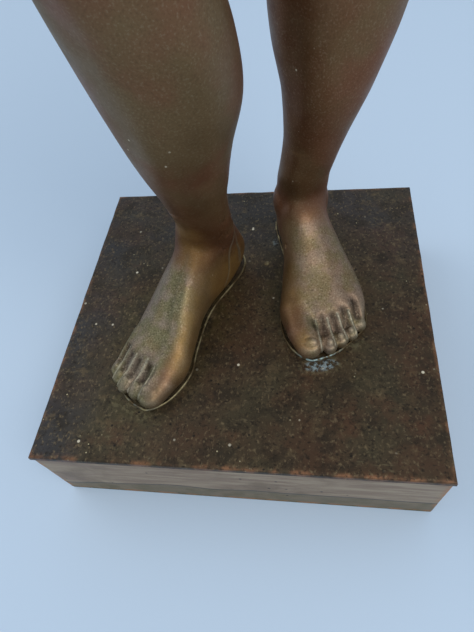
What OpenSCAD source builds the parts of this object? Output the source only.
// Standing bronze statuette on a hollow, square-edged bronze plinth.
// The figure is cast in sections: two legs, the trunk in its tunic, two arms and the head.
// Round spigots and cross pins join the sections, and each foot is held to the plinth by
// a stud, its washers and a nut from below, with a dowel under the ball of the foot.
// Origin: centre of the plinth's underside. +Z is up, and the figure faces -Y.

/* [Plinth] */
// Width of the plinth, from left to right
plinth_w = 185; // [180:1:210]
// Depth of the plinth, from front to back
plinth_d = 176; // [172:1:200]
// Height of the plinth, from the floor to the face that the feet stand on
plinth_h = 50; // [40:1:70]
// Thickness of the plinth's top plate
plate_t = 3; // [2:0.5:5]
// Thickness of the plinth's four walls
wall_t = 3.5; // [2.5:0.5:6]
// How far the top plate stands past the walls
lip = 0.6; // [0.2:0.1:1.5]
// Radius of the plinth's upright corners
corner_r = 1.6; // [0.5:0.1:3]
// Thickness of the felt under the walls
felt_t = 1; // [0.5:0.5:3]

/* [Stance] */
// How far the right foot is turned out, in degrees
right_turn = 24; // [10:1:30]
// How far the left foot is turned out, in degrees
left_turn = 9.5; // [0:0.5:20]
// Height of the crown of the head above the floor
total_h = 700; // [700:1:702]

/* [Castings] */
// Wall of the hollow legs
leg_wall = 3.5; // [2.5:0.5:5]
// Wall of the trunk
trunk_wall = 4; // [3:0.5:6]
// Diameter of the hip spigots
hip_spigot_d = 22; // [16:1:24]
// Diameter of the shoulder spigots
shoulder_spigot_d = 12; // [8:1:14]
// Diameter of the neck spigot
neck_spigot_d = 18; // [12:1:20]
// Diameter of the cross pins
pin_d = 3; // [2:0.5:4]

/* [Foot fixings] */
// Diameter of the studs that hold the feet down
stud_d = 8; // [6:1:10]
// Length of the studs
stud_l = 40; // [34:1:44]
// Diameter of the dowels under the balls of the feet
dowel_d = 5; // [4:0.5:6]
// Width of the braze bead around each foot
bead_w = 1.4; // [0.8:0.1:2]
// Height of the braze bead around each foot
bead_h = 0.9; // [0.5:0.1:1.5]

/* [Hidden] */
$fn = 48;

bronze = "#5a4a30";
dark_bronze = "#4a3a28";
brass = "#b08d4a";
felt_green = "#2f3b2c";

tiny = 0.01;
around = 28;          // points around a casting's section
core_around = 16;     // points around the hollow inside a casting
small_around = 12;    // points around a toe, the nose or an ear
leg_squareness = 2.15;
body_squareness = 2.1;
finish_steps = 3;     // rings made between two of a casting's own sections

// Where the ankles stand on the plinth: x, y
right_at = [-21, 14.6];
left_at = [28.6, 45.2];

// A foot and leg, seen from the side, as sections that fan from the toes round the heel and
// up the leg. Each row is: front edge y, front edge z, back edge y, back edge z,
// half width, sideways place of the middle (inner side positive), and how much higher the
// inner half of the upper edge is than the outer half.
// Heights are above the plinth's top, and y is measured back from the ankle.
leg_sections = [
    [-66,   7,  -65,  -2, 14.5, -0.5, 0.1],
    [-62,  11,  -60,  -3, 19.5, -1.8, 0.2],
    [-54,  15,  -52,  -3, 21.0, -2.8, 0.3],
    [-42,  20,  -40,  -3, 19.0, -3.8, 0.35],
    [-28,  28,  -24,  -3, 15.5, -3.2, 0.3],
    [-19,  35,  -10,  -3, 13.8, -1.6, 0.2],
    [-16,  40,    6,  -3, 13.3,  0.0, 0.1],
    [-15,  44,   20,   0, 13.0,  0.0, 0],
    [-15,  48,   24,  11, 13.0,  0.0, 0],
    [-15,  52,   19,  27, 12.9,  0.0, 0],
    [-15,  58,   13.5, 46, 12.6,  0.0, 0],
    [-15.5, 73,  14.5, 71, 13.8,  0.0, 0],
    [-18,  94,   20,  94, 18.2,  0.0, 0],
    [-18, 116,   28, 116, 24.0,  0.0, 0],
    [-18, 140,   26, 140, 26.2,  0.0, 0],
    [-19, 165,   23, 165, 23.8,  0.0, 0],
    [-22, 188,   19, 188, 21.5,  0.0, 0],
    [-23, 206,   21, 206, 21.5,  0.0, 0],
    [-24, 228,   22, 228, 23.0,  0.0, 0],
    [-24, 250,   22, 250, 24.0,  0.0, 0]
];
// The leg's middle line as it rises: height above the plinth, x, y
right_line = [
    [0, -21, 14.6], [24, -18, 14.5], [50, -13.5, 11.6], [72, -13.5, 6], [94, -13.5, 0.5],
    [116, -13.8, -5], [140, -14.2, -10.3], [165, -15.6, -15.5], [188, -17, -19], [250, -18, -9]
];
left_line = [
    [0, 28.6, 45.2], [24, 28.6, 44.5], [50, 30, 42.2], [72, 35.3, 41.6], [94, 40, 41], [116, 43, 40.5],
    [140, 45.5, 39.7], [165, 48, 38.5], [188, 49, 37], [250, 46, 28]
];
leg_top = 250;
under_foot = 20;      // height of the block that trims a foot flat at the plinth's top
core_from = 62;       // the leg is hollow between these heights above the plinth
core_to = 230;
fore_from = -10;      // the right forefoot is slimmer and set inwards, from this y forwards
fore_run = 42;        // length over which that comes in
outer_from = 4;       // the right foot's outer toes are longer, from this x outwards
// Each foot: ankle, turn, side, share that the forefoot is slimmed, its shift inwards, and how
// much longer the outer toes are for each millimetre outwards
feet = [[right_at, right_turn, 1, 0.144, 6.3, 0.18], [left_at, left_turn, -1, 0, 0, 0]];

// Toes: root x, root y, tip x, tip y, half width, half height, share of the full root height
// (inner side positive)
toes = [
    [ 10.5, -54,   8.0, -71.0, 6.8, 6.2, 1],
    [  0.8, -54,  -1.6, -71.5, 4.2, 5.0, 0.95],
    [ -6.0, -52,  -8.2, -68.5, 4.0, 4.8, 0.9],
    [-12.6, -49, -14.4, -64.5, 3.9, 4.6, 0.8],
    [-17.8, -45, -19.2, -59.5, 3.8, 4.2, 0.65]
];
// Along a toe: share of its length, share of its width, height of its middle
toe_stations = [
    [0, 0.85, 9], [0.3, 0.92, 8], [0.62, 0.9, 6], [0.85, 1, 4.6], [1.1, 0.92, 4], [1.26, 0.5, 3.6]
];
// Outline of a sole with its bead, inner side positive
sole = [
    [0, 26.5], [9, 24], [13.6, 15], [13.2, 2], [11.8, -14], [12.4, -28], [15, -42], [19, -53],
    [18.6, -64], [15, -73], [8, -79.5], [0, -79], [-8, -76], [-15, -71], [-22, -64.5],
    [-24.5, -55], [-23.5, -40], [-20, -18], [-15, 0], [-13.6, 14], [-9, 23.5]
];

// Trunk: height, middle x, middle y, half width, half depth, squareness, turn to the left
trunk_sections = [
    [262, 13, 10, 69, 46, 2.3, 27],
    [300, 13, 10, 66, 45, 2.3, 26],
    [345, 13, 11, 61, 42, 2.3, 18],
    [390, 12, 12, 58, 38, 2.3, 8],
    [425, 10, 13, 51, 34, 2.2, 2],
    [448,  9, 13, 46, 31, 2.2, 0],
    [475,  8, 12, 49, 33, 2.2, -2],
    [515,  6, 12, 55, 37, 2.3, -3],
    [545,  5, 13, 58, 37, 2.4, -4],
    [568,  5, 14, 60, 32, 2.4, -4],
    [582,  5, 15, 52, 25, 2.3, -3],
    [592,  5, 15, 33, 20, 2.1, -2],
    [600,  5, 14, 19, 17.5, 2.0, 0]
];
deck_z = 300;         // underside of the web that carries the hip spigots
deck_t = 8;
hem_wall = 3;
waist_z = 448;        // height of the joint between the skirt and the torso, under the belt
sleeve_h = 20;
fit_gap = 0.1;        // clearance around the waist sleeve
chest_top = 576;      // where the torso's hollow ends
boss_wall = 4;        // metal left around each arm's spigot
boss_from = 30;       // where each boss starts, out from the trunk's middle
boss_l = 40;

// Arms: height, distance from the trunk's middle, how far forward, half width, half depth
arm_middle_x = 5;
arm_sections = [
    [583, 58,   0, 6, 9],
    [579, 61,   0, 12, 14],
    [566, 65,   0, 14.5, 17],
    [545, 68,   0, 14.5, 17],
    [510, 70,   0, 13, 15.5],
    [475, 71.5, 0, 12, 13.5],
    [455, 72,   1, 12.2, 12.5],
    [435, 72.5, 5, 12.5, 13],
    [400, 72.5, 14, 10.5, 12],
    [365, 72,  23, 8.5, 10],
    [350, 71.5, 26, 7.2, 10],
    [335, 71,  29, 6.8, 13],
    [315, 70,  33, 6.6, 13.5],
    [300, 69,  36, 5.8, 12],
    [287, 67,  38, 4.5, 9],
    [280, 66,  39, 2, 4]
];
right_swing = 0.25;   // how far each forearm swings forward, as a share of the row's value
left_swing = 1;
shoulder_z = 562;

// Head and neck: height, middle y, half width, half depth
head_x = 5;
head_sections = [
    [600, 14, 18, 17],
    [607, 12, 17.2, 18],
    [616, 9, 18.5, 24],
    [624, 7, 24, 31],
    [636, 7, 27.5, 35.5],
    [650, 9, 29.5, 38],
    [664, 11, 30.5, 38.5],
    [678, 12, 29, 35.5],
    [689, 13, 24, 28],
    [696, 13, 16, 18],
    [total_h, 13, 6, 7]
];

head_wall = 6;
head_core_from = 618; // the head is hollow between these heights
head_core_to = 692;
// Nose: height, half width, how far it stands out from the face
nose_sections = [[640, 3.5, 2], [643, 4.5, 6.5], [650, 3.2, 5], [664, 1.5, 2]];
nose_back = 5;        // how far the nose's middle lies behind the face's front
ear_at = [28.5, 10, 650];
ear_tilt = [8, 12];
ear_r = 8;
ear_shape = [0.35, 0.8, 1.3];

neck_y = 14;
neck_z = 600;         // height of the joint between the neck and the trunk
neck_spigot_l = 30;
neck_pin_drop = 8;

shoulder_y = 14;
shoulder_x = 54;      // how far out the arms' joints are
shoulder_spigot_l = 28;
shoulder_pin_in = 9;
shoulder_pin_rise = 2;

hip_spigot_l = 44;
hip_pin_drop = 12;
hip_pin_l = 40;
shoulder_pin_l = 18;
neck_pin_l = 30;
tube_wall = 3;        // wall of the hip and neck spigots
through = 100;        // length of a hole that goes right through a casting

stud_bore = 24;
stud_play = 0.6;
washer_play = 0.4;
washer_d = 18;
washer_t = 1.6;
lock_d = 14;
lock_t = 2;
nut_af = 13;
nut_h = 6.5;
dowel_bore = 9;
dowel_at = [0, -44];

plug_at = [9.6, 27.8];
plug_d = 3;
plug_rise = 0.3;
ankle_hole_at = [17, 20.5, 21.5];
ankle_hole_l = 12;
ankle_plug_d = 2.4;
ankle_plug_l = 5;

top_z = plinth_h;
plate_under = plinth_h - plate_t;
wall_w = plinth_w - 2 * lip;
wall_d = plinth_d - 2 * lip;
block = 12;           // side of the corner blocks
block_h = 30;
felt_w = 6;           // width of the felt strips
felt_l = wall_w - 0.8;
felt_d = wall_d - 0.8;

// ---- functions ----

// One value between b and c on a smooth curve through a, b, c and d
function blend4(a, b, c, d, t) =
    0.5 * (2 * b + (c - a) * t + (2 * a - 5 * b + 4 * c - d) * t * t
           + (3 * b - a - 3 * c + d) * t * t * t);

// The rows of a table with `steps` smooth rows for each of its own
function smooth(table, steps) =
    let (last = len(table) - 1)
    concat(
        [for (i = [0:last - 1]) for (k = [0:steps - 1])
            blend4(table[max(i - 1, 0)], table[i], table[i + 1], table[min(i + 2, last)], k / steps)],
        [table[last]]);

// Middle line of a leg at height z, as [x, y]
function line_at(line, z) =
    let (zc = max(z, 0))
    [lookup(zc, [for (p = line) [p[0], p[1]]]), lookup(zc, [for (p = line) [p[0], p[2]]])];

// A number raised to a power, keeping its sign
function keep_sign(v, power) = sign(v) * pow(abs(v), power);

// Ring of points around an oval, as [across, along], counter-clockwise
function oval(half_a, half_b, squareness = 2, points = around) =
    [for (i = [0:points - 1]) let (t = 360 * i / points)
        [half_a * keep_sign(cos(t), 2 / squareness), half_b * keep_sign(sin(t), 2 / squareness)]];

// Ring of points for one row of leg_sections, drawn in by `wall`, in the foot's own frame
function leg_ring(row, line, wall, points) =
    let (
        front = [row[0], row[1]],
        back = [row[2], row[3]],
        middle = (front + back) / 2,
        reach = (back - front) / 2,
        long = norm(reach),
        along = reach / long,
        rise = middle[1],
        lean = line_at(line, rise) - line_at(line, 0)
    )
    [for (p = oval(row[4] - wall, long - wall, leg_squareness, points))
        let (q = p[1] * (p[1] < 0 ? 1 + row[6] * p[0] / row[4] : 1))
        [row[5] + p[0], middle[0] + along[0] * q, middle[1] + along[1] * q, lean]];

// How much of the forefoot's slimming applies at y, from 0 behind the instep to 1 at the toes
function fore(y) =
    let (t = min(max((fore_from - y) / fore_run, 0), 1))
    t * t * (3 - 2 * t);

// A point of a foot's own frame, placed on the plinth; the last item of p is the leg's lean there
function place(p, foot) =
    let (
        at = foot[0],
        turn = foot[1],
        side = foot[2],
        share = fore(p[1]),
        x = p[0] * (1 - foot[3] * share) + foot[4] * share,
        y = p[1] - foot[5] * max(0, outer_from - p[0]) * share
    )
    [at[0] + side * (x * cos(turn) + y * sin(turn)) + p[3][0],
     at[1] - x * sin(turn) + y * cos(turn) + p[3][1],
     top_z + p[2]];

// ---- shared shapes ----

// Closed skin over a stack of rings, each counter-clockwise seen from the far end
module skin(rings) {
    n = len(rings[0]);
    m = len(rings);
    sides = [for (i = [0:m - 2]) for (j = [0:n - 1])
        let (k = (j + 1) % n, a = i * n, b = a + n)
        each [[a + j, b + j, b + k], [a + j, b + k, a + k]]];
    near = [[for (j = [0:n - 1]) j]];
    far = [[for (j = [n - 1:-1:0]) (m - 1) * n + j]];
    polyhedron([for (r = rings) each r], concat(near, sides, far));
}

// Skin over horizontal ovals: height, middle x, middle y, half width, half depth, squareness, turn
module stack(sections, wall = 0, points = around) {
    skin([for (r = sections)
        [for (p = oval(r[3] - wall, r[4] - wall, r[5], points))
            [r[1] + p[0] * cos(r[6]) - p[1] * sin(r[6]), r[2] + p[0] * sin(r[6]) + p[1] * cos(r[6]), r[0]]]]);
}

// A ring in the other direction round, for the mirrored foot
function flip(ring, side) = side > 0 ? ring : [for (i = [len(ring) - 1:-1:0]) ring[i]];

// Puts a shape on the plinth's top, at a point of a foot's own frame
module on_sole(foot, p) {
    translate(place([p[0], p[1], 0, [0, 0]], foot)) children();
}

module hip_bore(line, depth) {
    p = line_at(line, leg_top);
    translate([p[0], p[1], deck_z - depth]) cylinder(d = hip_spigot_d, h = 2 * depth);
}

module hip_pin_hole(line, length) {
    p = line_at(line, leg_top);
    translate([p[0], p[1], deck_z - hip_pin_drop])
        rotate([90, 0, 0]) cylinder(d = pin_d, h = length, center = true);
}

// ---- plinth ----

// Flat outline of the plinth: a rectangle with rounded corners
module rounded_box(w, d, r) {
    hull()
        for (x = [-1, 1]) for (y = [-1, 1])
            translate([x * (w / 2 - r), y * (d / 2 - r)]) circle(r);
}

module plinth_top() {
    color(dark_bronze)
    difference() {
        translate([0, 0, plate_under]) linear_extrude(plate_t) rounded_box(plinth_w, plinth_d, corner_r);
        for (foot = feet) {
            on_sole(foot, [0, 0]) cylinder(d = stud_d + stud_play, h = 3 * plate_t, center = true);
            on_sole(foot, dowel_at) cylinder(d = dowel_d, h = 3 * plate_t, center = true);
        }
        translate([plug_at[0], plug_at[1], plate_under]) cylinder(d = plug_d, h = plate_t);
    }
}

// A wall along the plinth's whole width, with its outer upright edges rounded
module long_wall(side) {
    color(bronze)
    translate([0, 0, felt_t])
    linear_extrude(plate_under - felt_t)
    intersection() {
        rounded_box(wall_w, wall_d, corner_r);
        translate([-wall_w / 2, side > 0 ? wall_d / 2 - wall_t : -wall_d / 2]) square([wall_w, wall_t]);
    }
}

// A wall that butts between the two long ones
module end_wall(side) {
    color(bronze)
    translate([side > 0 ? wall_w / 2 - wall_t : -wall_w / 2, -wall_d / 2 + wall_t, felt_t])
        cube([wall_t, wall_d - 2 * wall_t, plate_under - felt_t]);
}

module plinth_front_wall() { long_wall(-1); }
module plinth_back_wall() { long_wall(1); }
module plinth_left_wall() { end_wall(1); }
module plinth_right_wall() { end_wall(-1); }

// Square blocks brazed into the plinth's inner corners
module plinth_corner_blocks() {
    color(brass)
    for (x = [-1, 1]) for (y = [-1, 1])
        translate([x * (wall_w / 2 - wall_t - block / 2), y * (wall_d / 2 - wall_t - block / 2),
                   plate_under - block_h / 2])
            cube([block, block, block_h], center = true);
}

// Small plug that closes a casting hole between the feet
module plinth_plug() {
    color(brass)
    translate([plug_at[0], plug_at[1], plate_under]) {
        cylinder(d = plug_d, h = plate_t);
        translate([0, 0, plate_t]) cylinder(d1 = plug_d, d2 = plug_d / 2, h = plug_rise);
    }
}

// Strips of felt glued under the walls; the front and back ones take the whole width
module felt_strip(x, y, w, d) {
    color(felt_green) translate([x - w / 2, y - d / 2, 0]) cube([w, d, felt_t]);
}

module felt_front() { felt_strip(0, felt_w / 2 - felt_d / 2, felt_l, felt_w); }
module felt_back() { felt_strip(0, felt_d / 2 - felt_w / 2, felt_l, felt_w); }
module felt_left() { felt_strip(felt_l / 2 - felt_w / 2, 0, felt_w, felt_d - 2 * felt_w); }
module felt_right() { felt_strip(felt_w / 2 - felt_l / 2, 0, felt_w, felt_d - 2 * felt_w); }

// ---- legs and feet ----

// Outside of a leg and the foot below it, without its toes
module leg_skin(foot, line) {
    skin([for (r = smooth(leg_sections, finish_steps))
        flip([for (p = leg_ring(r, line, 0, around)) place(p, foot)], foot[2])]);
}

// Hollow inside a leg, between the solid foot and the solid end that takes the hip spigot
module leg_core(foot, line) {
    rows = [for (r = leg_sections) if (r[1] > core_from && r[1] < core_to) r];
    skin([for (r = rows)
        flip([for (p = leg_ring(r, line, leg_wall, core_around)) place(p, foot)], foot[2])]);
}

// One toe: a rounded bar that narrows behind its last joint and at its tip
module toe(t, foot) {
    root = [t[0], t[1]];
    run = [t[2], t[3]] - root;
    skin([for (s = toe_stations)
        flip([for (q = oval(t[4] * s[1], t[5] * s[1], 2, small_around))
            let (c = root + run * s[0])
            place([c[0] + q[0], c[1], s[2] * t[6] + q[1], [0, 0]], foot)],
             foot[2])]);
}

module leg_casting(foot, line) {
    color(bronze)
    difference() {
        union() {
            leg_skin(foot, line);
            for (t = toes) toe(t, foot);
        }
        translate([-plinth_w / 2, -plinth_d / 2, top_z - under_foot])
            cube([plinth_w, plinth_d, under_foot]);
        leg_core(foot, line);
        on_sole(foot, [0, 0]) cylinder(d = stud_d, h = stud_bore);
        on_sole(foot, dowel_at) cylinder(d = dowel_d, h = dowel_bore);
        hip_bore(line, hip_spigot_l / 2);
        hip_pin_hole(line, through);
        if (foot[2] < 0) in_ankle_hole(0, ankle_hole_l);
    }
}

module right_leg() { leg_casting(feet[0], right_line); }
module left_leg() { leg_casting(feet[1], left_line); }

// Blind casting hole in the inner side of the left instep, and the plug at the bottom of it
module in_ankle_hole(depth, length) {
    translate([ankle_hole_at[0] + depth, ankle_hole_at[1], top_z + ankle_hole_at[2]])
        rotate([0, 90, 0]) cylinder(d = ankle_plug_d, h = length);
}

module left_ankle_plug() {
    color(brass) in_ankle_hole(ankle_hole_l - ankle_plug_l, ankle_plug_l);
}

// Thin braze bead around a foot, where it meets the plinth
module foot_bead(foot) {
    color(brass)
    difference() {
        translate([0, 0, top_z]) linear_extrude(bead_h)
            polygon([for (p = sole)
                let (q = place([p[0], p[1], 0, [0, 0]], foot)) [q[0], q[1]]]);
        translate([0, 0, top_z - tiny]) linear_extrude(bead_h + 2 * tiny)
            offset(delta = -bead_w)
                polygon([for (p = sole)
                    let (q = place([p[0], p[1], 0, [0, 0]], foot)) [q[0], q[1]]]);
    }
}

module right_foot_bead() { foot_bead(feet[0]); }
module left_foot_bead() { foot_bead(feet[1]); }

// ---- foot fixings ----

module foot_stud(foot) {
    color(brass)
    on_sole(foot, [0, 0]) translate([0, 0, stud_bore - stud_l]) cylinder(d = stud_d, h = stud_l);
}

module foot_dowel(foot) {
    color(brass)
    on_sole(foot, dowel_at) translate([0, 0, -plate_t]) cylinder(d = dowel_d, h = plate_t + dowel_bore);
}

// A flat ring on a foot's stud; drop is its upper face's distance below the plate
module stud_ring(foot, d, t, drop) {
    color(brass)
    on_sole(foot, [0, 0]) translate([0, 0, -plate_t - drop - t])
    difference() {
        cylinder(d = d, h = t);
        translate([0, 0, -tiny]) cylinder(d = stud_d + washer_play, h = t + 2 * tiny);
    }
}

module foot_nut(foot) {
    color(brass)
    on_sole(foot, [0, 0]) translate([0, 0, -plate_t - washer_t - lock_t - nut_h])
    difference() {
        cylinder(d = nut_af / cos(30), h = nut_h, $fn = 6);
        translate([0, 0, -tiny]) cylinder(d = stud_d, h = nut_h + 2 * tiny);
    }
}

module right_foot_stud() { foot_stud(feet[0]); }
module left_foot_stud() { foot_stud(feet[1]); }
module right_foot_dowel() { foot_dowel(feet[0]); }
module left_foot_dowel() { foot_dowel(feet[1]); }
module right_foot_washer() { stud_ring(feet[0], washer_d, washer_t, 0); }
module left_foot_washer() { stud_ring(feet[1], washer_d, washer_t, 0); }
module right_foot_lock_washer() { stud_ring(feet[0], lock_d, lock_t, washer_t); }
module left_foot_lock_washer() { stud_ring(feet[1], lock_d, lock_t, washer_t); }
module right_foot_nut() { foot_nut(feet[0]); }
module left_foot_nut() { foot_nut(feet[1]); }

// ---- trunk ----

// The trunk's outside between two of its own section heights
module trunk_outside(from_z, to_z) {
    stack([for (r = smooth(trunk_sections, 2)) if (r[0] >= from_z && r[0] <= to_z) r], 0, 36);
}

// The tunic's skirt: open below, with a web that the hip spigots pass through
module skirt() {
    color(bronze)
    difference() {
        trunk_outside(0, waist_z);
        trunk_hollow(trunk_sections[0][0] - 1, deck_z, hem_wall);
        trunk_hollow(deck_z + deck_t, waist_z + 1, trunk_wall);
        hip_bore(right_line, hip_spigot_l / 2);
        hip_bore(left_line, hip_spigot_l / 2);
    }
}

// Oval sleeve inside the waist, which lines up the skirt and the torso
module waist_sleeve() {
    color(brass)
    difference() {
        trunk_hollow(waist_z - sleeve_h / 2, waist_z + sleeve_h / 2, trunk_wall + fit_gap);
        trunk_hollow(waist_z - sleeve_h / 2 - 1, waist_z + sleeve_h / 2 + 1,
                     trunk_wall + fit_gap + tube_wall);
    }
}

module torso() {
    color(bronze)
    difference() {
        trunk_outside(waist_z, neck_z);
        difference() {
            trunk_hollow(waist_z - 1, chest_top, trunk_wall);
            for (side = [-1, 1]) shoulder_boss(side);
        }
        for (side = [-1, 1]) shoulder_bore(side);
        for (side = [-1, 1]) shoulder_pin_hole(side);
        translate([head_x, neck_y, neck_z - neck_spigot_l / 2])
            cylinder(d = neck_spigot_d, h = neck_spigot_l);
        neck_pin_hole();
    }
}

// The hollow of the trunk between two heights
module trunk_hollow(from_z, to_z, wall) {
    heights = [from_z, for (r = trunk_sections) if (r[0] > from_z + 2 && r[0] < to_z - 2) r[0], to_z];
    stack([for (z = heights) concat([z], [for (k = [1:6])
        lookup(z, [for (r = trunk_sections) [r[0], r[k]]])])], wall, 24);
}

module shoulder_boss(side) {
    translate([arm_middle_x + side * boss_from, shoulder_y, shoulder_z]) rotate([0, side * 90, 0])
        cylinder(d = shoulder_spigot_d + 2 * boss_wall, h = boss_l);
}

module shoulder_bore(side) {
    translate([arm_middle_x + side * (shoulder_x - shoulder_spigot_l / 2), shoulder_y, shoulder_z])
        rotate([0, side * 90, 0]) cylinder(d = shoulder_spigot_d, h = shoulder_spigot_l);
}

module shoulder_pin_hole(side) {
    translate([arm_middle_x + side * (shoulder_x - shoulder_pin_in), shoulder_y, shoulder_z])
        cylinder(d = pin_d, h = through / 2, center = true);
}

module neck_pin_hole() {
    translate([head_x, neck_y, neck_z - neck_pin_drop]) rotate([90, 0, 0])
        cylinder(d = pin_d, h = through, center = true);
}

// ---- arms ----

module arm(side, swing) {
    color(bronze)
    difference() {
        skin([for (r = smooth([for (i = [len(arm_sections) - 1:-1:0]) arm_sections[i]], 2))
            [for (p = oval(r[3], r[4], body_squareness, 20))
                [arm_middle_x + side * r[1] + p[0], shoulder_y - swing * r[2] + p[1], r[0]]]]);
        trunk_outside(0, neck_z);
        shoulder_bore(side);
    }
}

module right_arm() { arm(-1, right_swing); }
module left_arm() { arm(1, left_swing); }

// ---- head ----

module head() {
    color(bronze)
    difference() {
        union() {
            stack([for (r = smooth(head_sections, 2))
                [r[0], head_x, r[1], r[2], r[3], body_squareness, 0]], 0, 32);
            nose();
            for (side = [-1, 1]) ear(side);
        }
        head_hollow();
        translate([head_x, neck_y, neck_z - 1]) cylinder(d = neck_spigot_d, h = neck_spigot_l / 2 + 1);
    }
}

module nose() {
    skin([for (r = nose_sections)
        [for (p = oval(r[1], nose_back + r[2], 2, small_around))
            [head_x + p[0], face_y(r[0]) + nose_back + p[1], r[0]]]]);
}

// Place of the face's front at height z
function face_y(z) = lookup(z, [for (r = head_sections) [r[0], r[1] - r[3] + 1]]);

module ear(side) {
    translate([head_x + side * ear_at[0], ear_at[1], ear_at[2]])
        rotate([ear_tilt[0], side * ear_tilt[1], 0])
            scale(ear_shape) sphere(ear_r, $fn = small_around);
}

module head_hollow() {
    rows = [for (r = head_sections) if (r[0] > head_core_from && r[0] < head_core_to) r];
    stack([for (r = rows) [r[0], head_x, r[1], r[2], r[3], 2, 0]], head_wall, core_around);
}

// ---- spigots and pins ----

// A round joint piece: at its middle, turned by `turn`, with an open middle if bore is over 0
module spigot(at, turn, d, length, bore) {
    color(brass)
    translate(at) rotate(turn)
    difference() {
        cylinder(d = d, h = length, center = true);
        if (bore > 0) cylinder(d = bore, h = length + 2, center = true);
    }
}

module hip_spigot(line) {
    p = line_at(line, leg_top);
    difference() {
        spigot([p[0], p[1], deck_z], [0, 0, 0], hip_spigot_d, hip_spigot_l, hip_spigot_d - 2 * tube_wall);
        hip_pin_hole(line, through);
    }
}

module hip_pin(line) {
    p = line_at(line, leg_top);
    spigot([p[0], p[1], deck_z - hip_pin_drop], [90, 0, 0], pin_d, hip_pin_l, 0);
}

module shoulder_spigot(side) {
    difference() {
        spigot([arm_middle_x + side * shoulder_x, shoulder_y, shoulder_z], [0, 90, 0],
               shoulder_spigot_d, shoulder_spigot_l, 0);
        shoulder_pin_hole(side);
    }
}

module shoulder_pin(side) {
    spigot([arm_middle_x + side * (shoulder_x - shoulder_pin_in), shoulder_y,
            shoulder_z + shoulder_pin_rise], [0, 0, 0], pin_d, shoulder_pin_l, 0);
}

module right_hip_spigot() { hip_spigot(right_line); }
module left_hip_spigot() { hip_spigot(left_line); }
module right_hip_pin() { hip_pin(right_line); }
module left_hip_pin() { hip_pin(left_line); }
module right_shoulder_spigot() { shoulder_spigot(-1); }
module left_shoulder_spigot() { shoulder_spigot(1); }
module right_shoulder_pin() { shoulder_pin(-1); }
module left_shoulder_pin() { shoulder_pin(1); }

module neck_spigot() {
    difference() {
        spigot([head_x, neck_y, neck_z], [0, 0, 0], neck_spigot_d, neck_spigot_l,
               neck_spigot_d - 2 * tube_wall);
        neck_pin_hole();
    }
}

module neck_pin() {
    spigot([head_x, neck_y, neck_z - neck_pin_drop], [90, 0, 0], pin_d, neck_pin_l, 0);
}

plinth_top();
plinth_front_wall();
plinth_back_wall();
plinth_left_wall();
plinth_right_wall();
plinth_corner_blocks();
plinth_plug();
felt_front();
felt_back();
felt_left();
felt_right();
right_leg();
left_leg();
right_foot_bead();
left_foot_bead();
right_foot_stud();
left_foot_stud();
right_foot_dowel();
left_foot_dowel();
right_foot_washer();
left_foot_washer();
right_foot_lock_washer();
left_foot_lock_washer();
right_foot_nut();
left_foot_nut();
left_ankle_plug();
skirt();
torso();
waist_sleeve();
right_arm();
left_arm();
head();
right_hip_spigot();
left_hip_spigot();
right_hip_pin();
left_hip_pin();
right_shoulder_spigot();
left_shoulder_spigot();
right_shoulder_pin();
left_shoulder_pin();
neck_spigot();
neck_pin();
